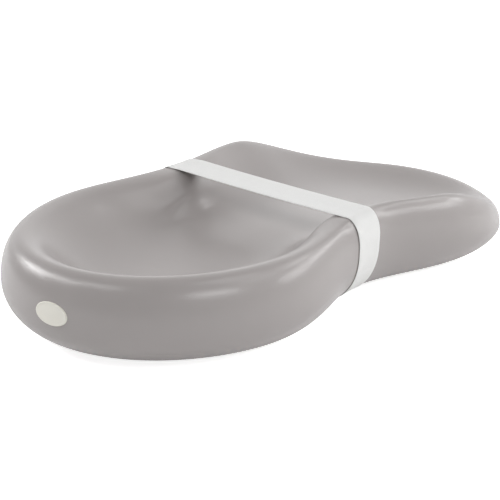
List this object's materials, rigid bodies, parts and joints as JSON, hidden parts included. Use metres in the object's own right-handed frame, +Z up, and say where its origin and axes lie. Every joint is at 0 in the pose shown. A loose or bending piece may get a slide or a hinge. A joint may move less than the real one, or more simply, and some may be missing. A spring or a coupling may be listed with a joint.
{
  "type": "changing pad",
  "caption": "Peanut-shaped moulded foam changing pad with a raised rim, a dished basin and a white webbing safety strap over the waist that opens at a hook-and-loop tab.",
  "frame": {"origin": "on the floor under the middle of the pad", "axes": "+X along the pad from the head lobe to the foot lobe, +Z up, the strap's fixed end is on the -Y side"},
  "size_m": [0.8135, 0.4406, 0.1286],
  "materials": {
    "skin": "satin soft moulded polyurethane skin",
    "foam": "open-cell polyurethane foam",
    "base": "matt non-slip rubber",
    "webbing": "flat woven webbing",
    "patch": "hook-and-loop tape",
    "board": "raw plywood",
    "fixings": "zinc plated",
    "badge": "satin"
  },
  "bodies": {
    "pad": {"foam_core": "foam", "outer_skin": "skin", "base_panel": "base", "insert_board": "board", "tee_nuts": "fixings", "anchor_plate_near": "fixings", "anchor_plate_far": "fixings", "anchor_screws": "fixings", "strap_near": "webbing", "strap_far": "webbing", "loop_patch": "patch", "badge": "badge"},
    "flap": {"strap_flap": "webbing"},
    "tab": {"strap_tab": "webbing", "hook_patch": "patch"}
  },
  "joints": [
    {"name": "strap_open", "type": "hinge", "parent": "pad", "child": "flap", "pos_m": [-0.007, -0.16068, 0.12751], "axis": [0.9989, 0, 0.0464], "range_deg": [0, 150]},
    {"name": "tab_peel", "type": "hinge", "parent": "flap", "child": "tab", "pos_m": [-0.007, 0.16068, 0.12751], "axis": [0.9989, 0, 0.0464], "range_deg": [0, 65]}
  ]
}
